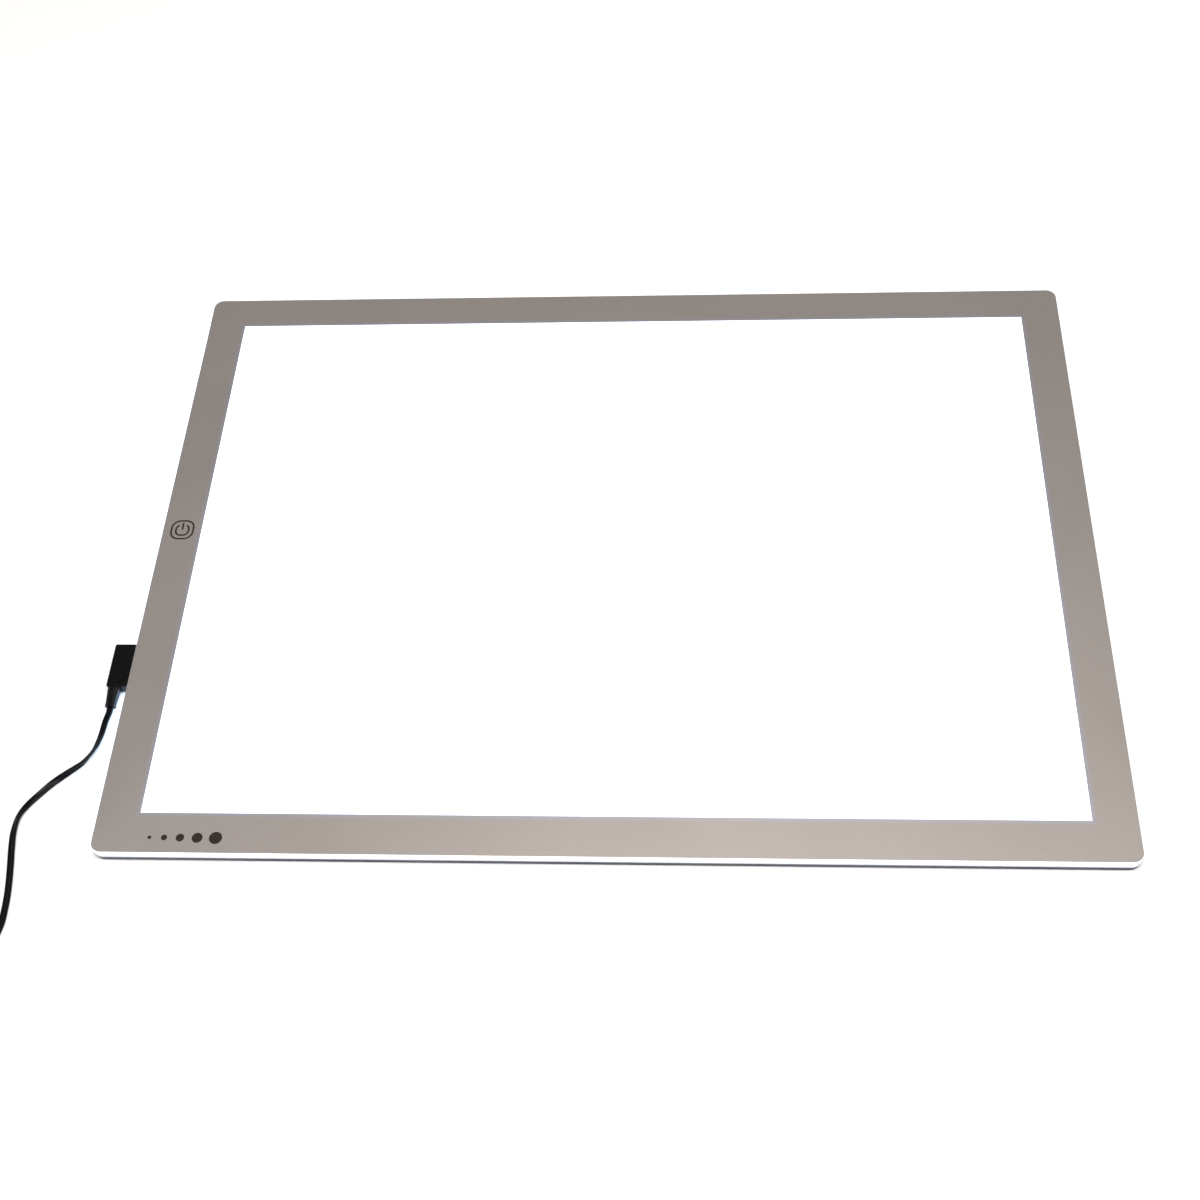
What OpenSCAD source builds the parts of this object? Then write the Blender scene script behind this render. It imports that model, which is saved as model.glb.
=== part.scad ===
// Edge-lit drawing light panel for A2 sheets, with a pull-out low-voltage lead and a plug-in adapter.
// Millimetres. X runs along the long side, Y to the back, Z up.
// The origin is on the table, below the middle of the panel.

/* [Panel] */
// Length of the panel, left to right
panel_l = 650; // [642:1:680]
// Depth of the panel, front to back
panel_w = 475; // [470:1:500]
// Radius of the panel's corners
corner_r = 7; // [4:0.5:10]
// Length of the lit window
window_l = 594; // [570:1:594]
// Depth of the lit window
window_w = 420; // [400:1:420]

/* [Layers] */
// Height of the rubber feet
foot_h = 1.5; // [1:0.1:3]
// Thickness of the back panel
back_t = 2; // [1.6:0.1:3]
// Height of the clear edge frame
frame_h = 5.5; // [5.5:0.1:7]
// Thickness of the top panel
top_t = 2.2; // [1.5:0.1:4]
// Thickness of the bezel film
bezel_t = 0.3; // [0.2:0.05:0.5]
// Thickness of the reflector film
reflector_t = 0.3; // [0.1:0.05:0.4]
// Thickness of the light guide
guide_t = 4; // [3:0.1:4.5]

/* [Edge frame and lights] */
// Width of the frame's short sides
rail_side = 8; // [8:0.5:9]
// Width of the frame's long sides
rail_long = 21; // [20:0.5:22]
// Distance between neighbouring lights
led_pitch = 12; // [8:1:20]
// Length of one light
led_l = 3.5; // [2:0.1:5]

/* [Feet and screws] */
// Radius of a rubber foot
foot_r = 8; // [5:0.5:9]
// Radius of a screw's shank
screw_r = 1.25; // [1:0.05:1.5]
// Radius of a screw's head
screw_head_r = 2.75; // [2:0.05:3]

/* [Inlet and plug] */
// Distance of the inlet in front of the middle
inlet_y = -89; // [-100:1:-70]
// Diameter of the inlet's bore
bore_d = 3.6; // [3.6:0.01:3.65]
// Diameter of the inlet's centre pin
pin_d = 1.2; // [1:0.01:1.2]
// Diameter of the plug's barrel
barrel_d = 3.5; // [3.4:0.01:3.5]
// Length of the plug's barrel
barrel_l = 9.5; // [8:0.1:10]
// How far the moulded plug stands out from the panel
plug_out = 14.8; // [12:0.1:18]
// Length of the moulded plug along the panel's side
plug_l = 33.4; // [28:0.1:40]
// Height of the moulded plug
plug_h = 7.5; // [6:0.1:8]

/* [Lead] */
// Width of the flat lead
lead_w = 4.4; // [4:0.1:4.6]
// Thickness of the flat lead
lead_t = 2.2; // [2:0.1:2.3]
// Diameter of the stored coil at the middle of its turns
coil_d = 50; // [48:1:54]

/* [Adapter] */
// Width of the adapter
adapter_w = 44; // [42:1:50]
// Length of the adapter
adapter_l = 62; // [60:1:70]
// Depth of the adapter without its pins
adapter_h = 28; // [27:1:34]

/* [Hidden] */
$fn = 48;

// Levels, from the table up
back_z = foot_h;
frame_z = back_z + back_t;
top_z = frame_z + frame_h;
bezel_z = top_z + top_t;
guide_z = frame_z + reflector_t;
diffuser_z = guide_z + guide_t;

// Inside of the edge frame
inside_l = panel_l - 2*rail_side;
inside_w = panel_w - 2*rail_long;
strip_t = 1;
strip_h = 5;
led_t = 1.2;
led_h = 2.8;
led_gap = 0.3;
guide_l = window_l + 6;
guide_w = inside_w - 2*(strip_t + led_t + led_gap);
led_count = floor((guide_l - 10)/led_pitch);

// Control board, in the left margin beside the light guide
board_x0 = -inside_l/2 + 0.5;
board_x1 = -guide_l/2 - 1.5;
board_y0 = -130;
board_y1 = 40;
board_t = 1;
board_x = (board_x0 + board_x1)/2;
board_top = frame_z + board_t;
touch_y = 13.5;
touch_x = -panel_l/2 + 14;
electrode_l = 14;
electrode_t = 0.3;
electrode_x1 = -guide_l/2 - 4;
wire_r = 0.6;
socket_l = 6;
socket_h = 3.8;

// Inlet
inlet_l = 14;
inlet_w = 8.4;
inlet_x = -panel_l/2;
inlet_z = frame_z + frame_h/2;
bore_l = 11;

// Plug, at rest fully home in the inlet
plug_gap = 0.4;
plug_x1 = inlet_x - plug_gap;
plug_x0 = plug_x1 - plug_out;
plug_y1 = inlet_y + 7;
plug_y0 = plug_y1 - plug_l;
plug_root = 4;
sleeve_t = 0.3;
contact_d = 1.9;
contact_bore = 1.35;
relief_x = plug_x1 - 9.8;
relief_l = 14.4;

// Screws: two along each short side and four along each long side
screw_l = 6;
screw_head_h = 1.5;
screw_x = [-290, -97, 97, 290];
screw_y = [-110, 110];
screws = concat(
    [for (x = screw_x, s = [-1, 1]) [x, s*(panel_w/2 - rail_long/2)]],
    [for (y = screw_y, s = [-1, 1]) [s*(panel_l/2 - rail_side/2), y]]);

// Feet
foot_x = 290;
foot_y = 205;

// Stored coil: turns on edge, side by side in two layers, held up by the tie below it
coil_x = -422;
coil_y = -352;
tie_t = 0.6;
tie_w = 4;
coil_band = 11;
coil_h = 9.2;
coil_gap = 0.1;

// Adapter, lying on its back with its pins up; a pin is its size along X, along Y and its length
adapter_x = -450;
adapter_y0 = -276;
adapter_y1 = adapter_y0 + adapter_l;
adapter_wall = 2;
adapter_r = 6;
seam_z = 12;
relief2_z = 5.5;
relief2_l = 12;
supply_pin = [6.35, 3.95, 17.7];
ground_pin = [3.95, 7.95, 22.7];
pin_gap = 22.2;
pin_y = adapter_y0 + 20;
adapter_board_z = 6;
adapter_board_t = 1.6;
adapter_parts_z = adapter_board_z + adapter_board_t;

// Route of the lead from the plug to the coil: x, y, z of its middle, and its roll in degrees
RUN = [[-335.2, -129.8, 6.2, 0], [-335.2, -134, 6.2, 0], [-336.4, -140, 5.8, 5], [-337.6, -150, 4.8, 20],
    [-340.3, -159.5, 3.6, 45], [-345.3, -168, 2.6, 75], [-348.1, -171.2, 2.3, 90],
    [-351.2, -173.8, 2.2, 105], [-357.2, -178.8, 2, 130], [-364, -184.7, 1.6, 160], [-370.5, -192, 1.2, 175],
    [-376.6, -200, 1.3, 185], [-380.6, -208.6, 1.8, 215], [-381.4, -219.5, 1.5, 200],
    [-380, -231, 1.2, 183], [-378, -242, 1.2, 180], [-376.2, -253, 1.2, 180], [-374.8, -264, 1.2, 180],
    [-374.2, -274.5, 1.2, 180], [-374.2, -282, 1.2, 180], [-375.6, -290, 1.2, 180],
    [-378.6, -299, 1.2, 182], [-382.4, -308, 1.5, 200], [-386.2, -317, 2, 225], [-389.2, -326, 2.4, 250],
    [-391.4, -335, 2.7, 265], [-392.6, -344, 2.9, 270], [-392.7, -352, 2.9, 270]];
// Route from the coil to the adapter
TAIL = [[-451.3, -352, 7.4, 90], [-451.2, -344, 6.9, 90], [-450.8, -336, 5.4, 90], [-450.4, -328, 3.4, 80],
    [-450, -320, 2.2, 50], [-450, -312, 1.5, 15], [-450, -304, 2, 0], [-450, -297, 3.8, 0],
    [-450, -292, 5.5, 0], [-450, -288, 5.5, 0]];

// Rectangle with round corners, centred
module round_rect(l, w, r) {
    square([l, w - 2*r], center = true);
    square([l - 2*r, w], center = true);
    for (x = [-1, 1], y = [-1, 1])
        translate([x*(l/2 - r), y*(w/2 - r)])
            circle(r);
}

// Box between two corners
module block(low, high) {
    translate(low)
        cube(high - low);
}

// Straight round rod along X from one point
module rod_x(x, y, z, l, r) {
    translate([x, y, z])
        rotate([0, 90, 0])
            cylinder(r = r, h = l);
}

// Straight round rod along Y from one point
module rod_y(x, y, z, l, r) {
    translate([x, y, z])
        rotate([-90, 0, 0])
            cylinder(r = r, h = l);
}

module panel_sheet(z, t) {
    translate([0, 0, z])
        linear_extrude(t)
            round_rect(panel_l, panel_w, corner_r);
}

module back_panel() {
    color("#3a4454")
        difference() {
            panel_sheet(back_z, back_t);
            for (p = screws)
                translate([p.x, p.y, back_z])
                    screw_shape();
        }
}

module edge_frame() {
    color("#eaf6ff")
        difference() {
            panel_sheet(frame_z, frame_h);
            translate([0, 0, frame_z - 1])
                linear_extrude(frame_h + 2)
                    round_rect(inside_l, inside_w, 3);
            block([inlet_x - 1, inlet_y - inlet_w/2, frame_z - 1],
                [-inside_l/2 + 1, inlet_y + inlet_w/2, top_z + 1]);
            for (p = screws)
                translate([p.x, p.y, back_z])
                    screw_shape();
        }
}

// Its lit window stands level with the bezel film round it
module top_panel() {
    color("white") {
        panel_sheet(top_z, top_t);
        translate([0, 0, bezel_z])
            linear_extrude(bezel_t)
                square([window_l, window_w], center = true);
    }
}

module bezel() {
    color("#b4aba3")
        translate([0, 0, bezel_z])
            linear_extrude(bezel_t)
                difference() {
                    round_rect(panel_l, panel_w, corner_r);
                    square([window_l, window_w], center = true);
                    touch_outline();
                    mark_outline();
                }
}

// Printed power sign in a square with round corners
module touch_outline() {
    line = 1.3;
    sign = 10.4;
    gap = 5;
    translate([touch_x, touch_y]) {
        difference() {
            round_rect(17, 17, 6.6);
            round_rect(17 - 2*line, 17 - 2*line, 6.6 - line);
        }
        translate([0, -0.2])
            difference() {
                round_rect(sign, sign, 4.4);
                round_rect(sign - 2*line, sign - 2*line, 4.4 - line);
                translate([0, sign/2])
                    square([gap, 4], center = true);
            }
        translate([0, 3.1])
            square([line, 6.2], center = true);
    }
}

// Printed row of growing dots that stands for brightness
module mark_outline() {
    for (i = [0:4])
        translate([-288 + 9*i + 0.4*i*i, -227.3])
            circle(1.2 + 0.75*i);
}

module touch_symbol() {
    color("#3b3430")
        translate([0, 0, bezel_z])
            linear_extrude(bezel_t)
                touch_outline();
}

module brightness_mark() {
    color("#241f1d")
        translate([0, 0, bezel_z])
            linear_extrude(bezel_t)
                mark_outline();
}

module guide_sheet(z, t) {
    block([-guide_l/2, -guide_w/2, z], [guide_l/2, guide_w/2, z + t]);
}

module reflector_film() {
    color("white")
        guide_sheet(frame_z, reflector_t);
}

module light_guide() {
    color("#dff2ff")
        guide_sheet(guide_z, guide_t);
}

module diffuser_sheet() {
    color("#fbfdff")
        guide_sheet(diffuser_z, top_z - diffuser_z);
}

// Circuit strip on the frame's inner face; side is -1 at the front and 1 at the back
module led_strip(side) {
    far = inside_w/2;
    near = far - strip_t;
    color("#f4f4ee")
        block([-guide_l/2 + 2, min(side*near, side*far), frame_z],
            [guide_l/2 - 2, max(side*near, side*far), frame_z + strip_h]);
}

module leds(side) {
    far = inside_w/2 - strip_t;
    near = far - led_t;
    z = guide_z + guide_t/2 - led_h/2;
    color("#fff3b8")
        for (i = [0:led_count - 1]) {
            x = (i - (led_count - 1)/2)*led_pitch;
            block([x - led_l/2, min(side*near, side*far), z],
                [x + led_l/2, max(side*near, side*far), z + led_h]);
        }
}

module front_led_strip() { led_strip(-1); }
module rear_led_strip() { led_strip(1); }
module front_leds() { leds(-1); }
module rear_leds() { leds(1); }

module control_board() {
    notch = 0.2;
    color("#1f6b3a")
        difference() {
            block([board_x0, board_y0, frame_z], [board_x1, board_y1, board_top]);
            block([board_x0 - 1, inlet_y - inlet_w/2 - notch, frame_z - 1],
                [inlet_x + inlet_l + notch, inlet_y + inlet_w/2 + notch, board_top + 1]);
        }
}

// Small chip with four legs on each side, flat on the board
module chip(y) {
    body = [3.9, 4.9, 1.5];
    leg_pitch = 1.27;
    color("#202022") {
        block([board_x - body.x/2, y - body.y/2, board_top + 0.1],
            [board_x + body.x/2, y + body.y/2, board_top + body.z]);
        for (i = [-1.5:1.5], s = [-1, 1])
            translate([board_x + s*(body.x/2 + 0.5), y + i*leg_pitch, board_top + 0.3])
                cube([1, 0.4, 0.6], center = true);
    }
}

module touch_chip() { chip(-4); }
module driver_chip() { chip(-58); }

module inductor() {
    color("#3a3a3c")
        translate([board_x, -42, board_top]) {
            cylinder(r = 3.2, h = 0.8);
            cylinder(r = 2.2, h = 3.4);
            translate([0, 0, 2.6])
                cylinder(r = 3.2, h = 0.8);
        }
}

module board_capacitors() {
    color("silver")
        for (y = [-73, -28])
            translate([board_x, y, board_top])
                cylinder(r = 2, h = 3.6);
}

module wire_sockets() {
    color("#f1ede0")
        for (y = [board_y0 + 2, board_y1 - 2 - socket_l])
            block([board_x - 2.5, y, board_top], [board_x + 2.5, y + socket_l, board_top + socket_h]);
}

module touch_electrode() {
    color("#c77b3c")
        block([-inside_l/2 + 0.5, touch_y - electrode_l/2, top_z - electrode_t],
            [electrode_x1, touch_y + electrode_l/2, top_z]);
}

module touch_foam() {
    color("#4a4a4e")
        block([board_x - 2.5, touch_y - 2.5, board_top], [board_x + 2.5, touch_y + 2.5, top_z - electrode_t]);
}

// Pair of wires from a socket, along the board's line and round to the end of a strip
module strip_wires(side, y_from) {
    y_to = side*(guide_w/2 + led_gap + led_t - wire_r);
    x_to = -guide_l/2 + 4;
    color("#c8322b")
        for (z = [board_top + 0.8, board_top + 2.8]) {
            rod_y(board_x, min(y_from, y_to), z, abs(y_to - y_from), wire_r);
            translate([board_x, y_to, z])
                sphere(wire_r);
            rod_x(board_x, y_to, z, x_to - board_x, wire_r);
        }
}

module front_strip_wires() { strip_wires(-1, board_y0 + 2); }
module rear_strip_wires() { strip_wires(1, board_y1 - 2); }

module dc_inlet() {
    color("#26282b")
        difference() {
            block([inlet_x, inlet_y - inlet_w/2, frame_z], [inlet_x + inlet_l, inlet_y + inlet_w/2, top_z]);
            rod_x(inlet_x - 1, inlet_y, inlet_z, bore_l + 1, bore_d/2);
            rod_x(inlet_x, inlet_y, inlet_z, inlet_l - 1, pin_d/2);
        }
}

module inlet_pin() {
    color("#d8d2c4")
        rod_x(inlet_x + 1, inlet_y, inlet_z, inlet_l - 2, pin_d/2);
}

module inlet_terminals() {
    color("#d8d2c4")
        for (y = [-2.4, 0, 2.4])
            block([inlet_x + inlet_l, inlet_y + y - 0.6, board_top],
                [inlet_x + inlet_l + 2.6, inlet_y + y + 0.6, board_top + 0.4]);
}

// Countersunk screw, head down, from the level of its head
module screw_shape() {
    cylinder(r1 = screw_head_r, r2 = screw_r, h = screw_head_h);
    cylinder(r = screw_r, h = screw_l);
}

module back_screws() {
    color("#b9bcc0")
        for (p = screws)
            translate([p.x, p.y, back_z])
                difference() {
                    screw_shape();
                    for (a = [0, 90])
                        rotate(a)
                            cube([3, 0.6, 1.4], center = true);
                }
}

module foot(sx, sy) {
    color("#2a2b2d")
        translate([sx*foot_x, sy*foot_y, 0])
            difference() {
                cylinder(r = foot_r, h = foot_h);
                translate([0, 0, -1])
                    cylinder(r = foot_r/2, h = 1.4);
            }
}

module foot_front_left() { foot(-1, -1); }
module foot_front_middle() { foot(0, -1); }
module foot_front_right() { foot(1, -1); }
module foot_rear_left() { foot(-1, 1); }
module foot_rear_middle() { foot(0, 1); }
module foot_rear_right() { foot(1, 1); }

// Right-angle moulding: its long side lies along the panel and the barrel leaves its back end
module plug_body() {
    color("#101113")
        difference() {
            translate([plug_x0, plug_y0, inlet_z - plug_h/2])
                linear_extrude(plug_h)
                    translate([plug_out/2, plug_l/2])
                        round_rect(plug_out, plug_l, 1.4);
            rod_x(plug_x1 - plug_root, inlet_y, inlet_z, plug_root + 1, barrel_d/2);
        }
}

// Tube along X that starts inside the plug and ends at the barrel's tip
module plug_tube(outer, inner) {
    difference() {
        rod_x(plug_x1 - plug_root, inlet_y, inlet_z, plug_root + barrel_l, outer/2);
        rod_x(plug_x1 - plug_root - 1, inlet_y, inlet_z, plug_root + barrel_l + 2, inner/2);
    }
}

module plug_barrel() {
    color("#cfcbbf")
        plug_tube(barrel_d, barrel_d - 2*sleeve_t);
}

module plug_insulator() {
    color("#111111")
        plug_tube(barrel_d - 2*sleeve_t, contact_d);
}

module plug_contact() {
    color("#d9b45a")
        plug_tube(contact_d, contact_bore);
}

// Tapered sleeve of oval section along Y, from its thick end to its thin end
module taper_sleeve(x, y, z, l, thick, thin) {
    end_l = 0.5;
    hull() {
        translate([x, y, z])
            rotate([90, 0, 0])
                linear_extrude(end_l)
                    round_rect(thick.x, thick.y, thick.y/2 - 0.4, $fn = 32);
        translate([x, y - l + end_l, z])
            rotate([90, 0, 0])
                linear_extrude(end_l)
                    round_rect(thin.x, thin.y, thin.y/2 - 0.4, $fn = 32);
    }
}

module plug_strain_relief() {
    color("#101113")
        taper_sleeve(relief_x, plug_y0, inlet_z, relief_l, [8.8, 6.2], [7.2, 4.8]);
}

// Corners of the flat lead's section: along its width, then along its thickness
SECTION = [for (s = [-1, 1]) each [[s*lead_w/2, s*lead_t*0.22], [s*lead_w*0.36, s*lead_t/2],
    [-s*lead_w*0.36, s*lead_t/2], [-s*lead_w/2, s*lead_t*0.22]]];

function unit(v) = v/norm(v);
function spot(p) = [p[0], p[1], p[2]];
function heading(route, i) =
    unit(spot(route[min(i + 1, len(route) - 1)]) - spot(route[max(i - 1, 0)]));

// Ring of section corners at one point of a route
function lead_ring(route, i) =
    let (run = heading(route, i), side = unit(cross([0, 0, 1], run)), up = cross(run, side), a = route[i][3])
    [for (c = SECTION) spot(route[i]) + side*(c.x*cos(a) - c.y*sin(a)) + up*(c.x*sin(a) + c.y*cos(a))];

module lead(route) {
    n = len(SECTION);
    last = len(route) - 1;
    points = [for (i = [0:last]) each lead_ring(route, i)];
    sides = [for (i = [0:last - 1], k = [0:n - 1])
        [i*n + k, i*n + (k + 1)%n, (i + 1)*n + (k + 1)%n, (i + 1)*n + k]];
    ends = [[for (k = [n - 1:-1:0]) k], [for (k = [0:n - 1]) last*n + k]];
    polyhedron(points, concat(sides, ends));
}

module cord_run() {
    color("#0c0d10")
        lead(RUN);
}

module cord_tail() {
    color("#0c0d10")
        lead(TAIL);
}

module cord_coil() {
    color("#0c0d10")
        translate([coil_x, coil_y, tie_t])
            rotate_extrude($fn = 96)
                translate([coil_d/2 - coil_band/2, 0])
                    square([coil_band, coil_h]);
}

module coil_tie() {
    inner = coil_d/2 - coil_band/2 - coil_gap;
    outer = coil_d/2 + coil_band/2 + coil_gap;
    color("#1a1a1c")
        difference() {
            block([coil_x - tie_w/2, coil_y - outer - tie_t, 0],
                [coil_x + tie_w/2, coil_y - inner + tie_t, coil_h + 2*tie_t + coil_gap]);
            block([coil_x - tie_w, coil_y - outer, tie_t],
                [coil_x + tie_w, coil_y - inner, coil_h + tie_t + coil_gap]);
        }
}

module adapter_outline(inset) {
    translate([adapter_x, (adapter_y0 + adapter_y1)/2])
        round_rect(adapter_w - 2*inset, adapter_l - 2*inset, adapter_r - inset);
}

// Back half of the adapter's case, lowest as it lies
module adapter_cover() {
    color("#141517")
        difference() {
            linear_extrude(seam_z)
                adapter_outline(0);
            translate([0, 0, adapter_wall])
                linear_extrude(seam_z)
                    adapter_outline(adapter_wall);
        }
}

module adapter_base() {
    color("#17181a")
        difference() {
            translate([0, 0, seam_z])
                linear_extrude(adapter_h - seam_z)
                    adapter_outline(0);
            translate([0, 0, seam_z - 1])
                linear_extrude(adapter_h - seam_z - adapter_wall + 1)
                    adapter_outline(adapter_wall);
            pin(adapter_x - pin_gap/2, pin_y, supply_pin);
            pin(adapter_x + pin_gap/2, pin_y, supply_pin);
            pin(adapter_x, pin_y + pin_gap, ground_pin);
        }
}

module adapter_strain_relief() {
    color("#101113")
        taper_sleeve(adapter_x, adapter_y0, relief2_z, relief2_l, [8.4, 6.4], [6.4, 4.4]);
}

// Flat pin through the case wall, standing out by its length
module pin(x, y, size) {
    block([x - size.x/2, y - size.y/2, adapter_h - adapter_wall - 1],
        [x + size.x/2, y + size.y/2, adapter_h + size.z]);
}

module live_pin() {
    color("#c9a54a")
        pin(adapter_x + pin_gap/2, pin_y, supply_pin);
}

module neutral_pin() {
    color("#c9a54a")
        pin(adapter_x - pin_gap/2, pin_y, supply_pin);
}

module earth_pin() {
    color("#1b1c1e")
        pin(adapter_x, pin_y + pin_gap, ground_pin);
}

module adapter_board() {
    color("#2f6b3f")
        translate([adapter_x, (adapter_y0 + adapter_y1)/2, adapter_board_z])
            linear_extrude(adapter_board_t)
                square([adapter_w - 2*adapter_wall - 2, adapter_l - 2*adapter_wall - 8], center = true);
}

module adapter_transformer() {
    color("#d3b13c")
        translate([adapter_x, adapter_y0 + 29, adapter_parts_z + 7])
            cube([17, 18, 14], center = true);
}

module adapter_input_capacitor() {
    color("#22324f")
        rod_y(adapter_x, adapter_y0 + 40, adapter_parts_z + 5, 14, 5);
}

module adapter_output_capacitor() {
    color("#22324f")
        translate([adapter_x, adapter_y0 + 14, adapter_parts_z])
            cylinder(r = 4, h = 12);
}

back_panel();
edge_frame();
top_panel();
bezel();
touch_symbol();
brightness_mark();
reflector_film();
light_guide();
diffuser_sheet();
front_led_strip();
rear_led_strip();
front_leds();
rear_leds();
control_board();
touch_chip();
driver_chip();
inductor();
board_capacitors();
wire_sockets();
touch_electrode();
touch_foam();
front_strip_wires();
rear_strip_wires();
dc_inlet();
inlet_pin();
inlet_terminals();
back_screws();
foot_front_left();
foot_front_middle();
foot_front_right();
foot_rear_left();
foot_rear_middle();
foot_rear_right();
plug_body();
plug_barrel();
plug_insulator();
plug_contact();
plug_strain_relief();
cord_run();
cord_coil();
coil_tie();
cord_tail();
adapter_cover();
adapter_base();
adapter_strain_relief();
live_pin();
neutral_pin();
earth_pin();
adapter_board();
adapter_transformer();
adapter_input_capacitor();
adapter_output_capacitor();
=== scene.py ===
# Edge-lit drawing light panel with its lead and adapter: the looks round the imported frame.
# Metres, in the frame's own axes: X along the panel, Y to the back, Z up from the table.
import math

import bmesh
import bpy
from mathutils import Matrix, Vector


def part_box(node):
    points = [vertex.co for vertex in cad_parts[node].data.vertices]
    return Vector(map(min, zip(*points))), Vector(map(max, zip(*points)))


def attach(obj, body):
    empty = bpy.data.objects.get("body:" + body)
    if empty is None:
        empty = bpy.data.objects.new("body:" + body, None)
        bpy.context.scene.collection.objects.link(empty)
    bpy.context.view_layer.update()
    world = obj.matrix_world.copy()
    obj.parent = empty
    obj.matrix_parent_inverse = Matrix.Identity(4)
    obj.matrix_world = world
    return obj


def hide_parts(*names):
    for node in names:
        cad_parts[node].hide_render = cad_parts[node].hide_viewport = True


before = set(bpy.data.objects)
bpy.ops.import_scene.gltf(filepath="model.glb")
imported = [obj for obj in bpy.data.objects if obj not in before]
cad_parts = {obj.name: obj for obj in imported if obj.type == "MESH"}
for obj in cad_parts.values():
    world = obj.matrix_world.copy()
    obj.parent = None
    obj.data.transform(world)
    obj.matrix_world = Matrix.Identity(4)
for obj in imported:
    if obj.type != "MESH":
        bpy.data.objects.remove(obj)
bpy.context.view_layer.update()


# ---- Back panel ----
# The closing sheet under the panel: extruded slate-grey plastic with a rolled leather grain.
# Its sawn edge is the thin dark line below the glowing edge. Screws hold it from below.

def grain_group():
    """Slow patches of two tones, a fine grain, and the roughness that goes with it."""
    group = bpy.data.node_groups.new("grain", "ShaderNodeTree")
    for label, kind in (
        ("Light Tone", "NodeSocketColor"),
        ("Dark Tone", "NodeSocketColor"),
        ("Patches Per Metre", "NodeSocketFloat"),
        ("Grains Per Metre", "NodeSocketFloat"),
        ("Smooth", "NodeSocketFloat"),
        ("Rough", "NodeSocketFloat"),
    ):
        group.interface.new_socket(name=label, in_out="INPUT", socket_type=kind)
    for label, kind in (
        ("Color", "NodeSocketColor"),
        ("Roughness", "NodeSocketFloat"),
        ("Height", "NodeSocketFloat"),
    ):
        group.interface.new_socket(name=label, in_out="OUTPUT", socket_type=kind)
    nodes, link = group.nodes, group.links.new
    given = nodes.new("NodeGroupInput")
    out = nodes.new("NodeGroupOutput")
    place = nodes.new("ShaderNodeTexCoord")
    patches = nodes.new("ShaderNodeTexNoise")
    patches.inputs["Detail"].default_value = 4
    grains = nodes.new("ShaderNodeTexNoise")
    grains.inputs["Detail"].default_value = 3
    both = nodes.new("ShaderNodeMath")
    both.operation = "MULTIPLY_ADD"
    both.inputs[1].default_value = 0.35
    tone = nodes.new("ShaderNodeMix")
    tone.data_type = "RGBA"
    rough = nodes.new("ShaderNodeMapRange")
    rough.inputs["From Min"].default_value = 0.35
    rough.inputs["From Max"].default_value = 0.65
    for noise, rate in ((patches, "Patches Per Metre"), (grains, "Grains Per Metre")):
        link(place.outputs["Object"], noise.inputs["Vector"])
        link(given.outputs[rate], noise.inputs["Scale"])
    link(grains.outputs["Fac"], both.inputs[0])
    link(patches.outputs["Fac"], both.inputs[2])
    spread = nodes.new("ShaderNodeMapRange")
    spread.inputs["From Min"].default_value = 0.45
    spread.inputs["From Max"].default_value = 0.9
    link(both.outputs[0], spread.inputs["Value"])
    link(spread.outputs[0], tone.inputs[0])
    link(given.outputs["Light Tone"], tone.inputs[6])
    link(given.outputs["Dark Tone"], tone.inputs[7])
    link(patches.outputs["Fac"], rough.inputs["Value"])
    link(given.outputs["Smooth"], rough.inputs["To Min"])
    link(given.outputs["Rough"], rough.inputs["To Max"])
    link(tone.outputs[2], out.inputs["Color"])
    link(rough.outputs[0], out.inputs["Roughness"])
    link(grains.outputs["Fac"], out.inputs["Height"])
    return group


grain = grain_group()


def grained(name, light, dark, smooth, rough, patches, grains, relief, metallic=0.0, gloss=0.5):
    """A surface of two close tones whose fine grain stands out by the relief, in metres."""
    made = bpy.data.materials.new(name)
    made.use_nodes = True
    nodes, link = made.node_tree.nodes, made.node_tree.links.new
    shader = nodes["Principled BSDF"]
    shader.inputs["Metallic"].default_value = metallic
    shader.inputs["Specular IOR Level"].default_value = gloss
    look = nodes.new("ShaderNodeGroup")
    look.name = "grain"
    look.node_tree = grain
    look.inputs["Light Tone"].default_value = (*light, 1)
    look.inputs["Dark Tone"].default_value = (*dark, 1)
    look.inputs["Patches Per Metre"].default_value = patches
    look.inputs["Grains Per Metre"].default_value = grains
    look.inputs["Smooth"].default_value = smooth
    look.inputs["Rough"].default_value = rough
    bump = nodes.new("ShaderNodeBump")
    bump.name = "relief"
    bump.inputs["Strength"].default_value = 1.0
    bump.inputs["Distance"].default_value = relief
    link(look.outputs["Color"], shader.inputs["Base Color"])
    link(look.outputs["Roughness"], shader.inputs["Roughness"])
    link(look.outputs["Height"], bump.inputs["Height"])
    link(bump.outputs["Normal"], shader.inputs["Normal"])
    return made


def dress(made, *names):
    """Gives CAD nodes their finish."""
    for name in names:
        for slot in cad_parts[name].material_slots:
            slot.material = made


slate_sheet = grained(
    "slate_sheet", (0.085, 0.094, 0.14), (0.068, 0.076, 0.115), 0.42, 0.6, 14, 1400, 0.00006
)
dress(slate_sheet, "back_panel")


# ---- Screws ----
# Twelve small countersunk screws, zinc plated over turned steel, driven up into the edge frame.

zinc_plate = grained(
    "zinc_plate", (0.66, 0.67, 0.69), (0.52, 0.53, 0.56), 0.22, 0.38, 400, 5000, 0.00001, 1.0
)
dress(zinc_plate, "back_screws")


# ---- Feet ----
# Six low round feet, pressed from soft rubber and stuck on. Each has a rolled rim and a
# shallow suction hollow in its sole.

weld_gap = 1e-7


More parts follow.
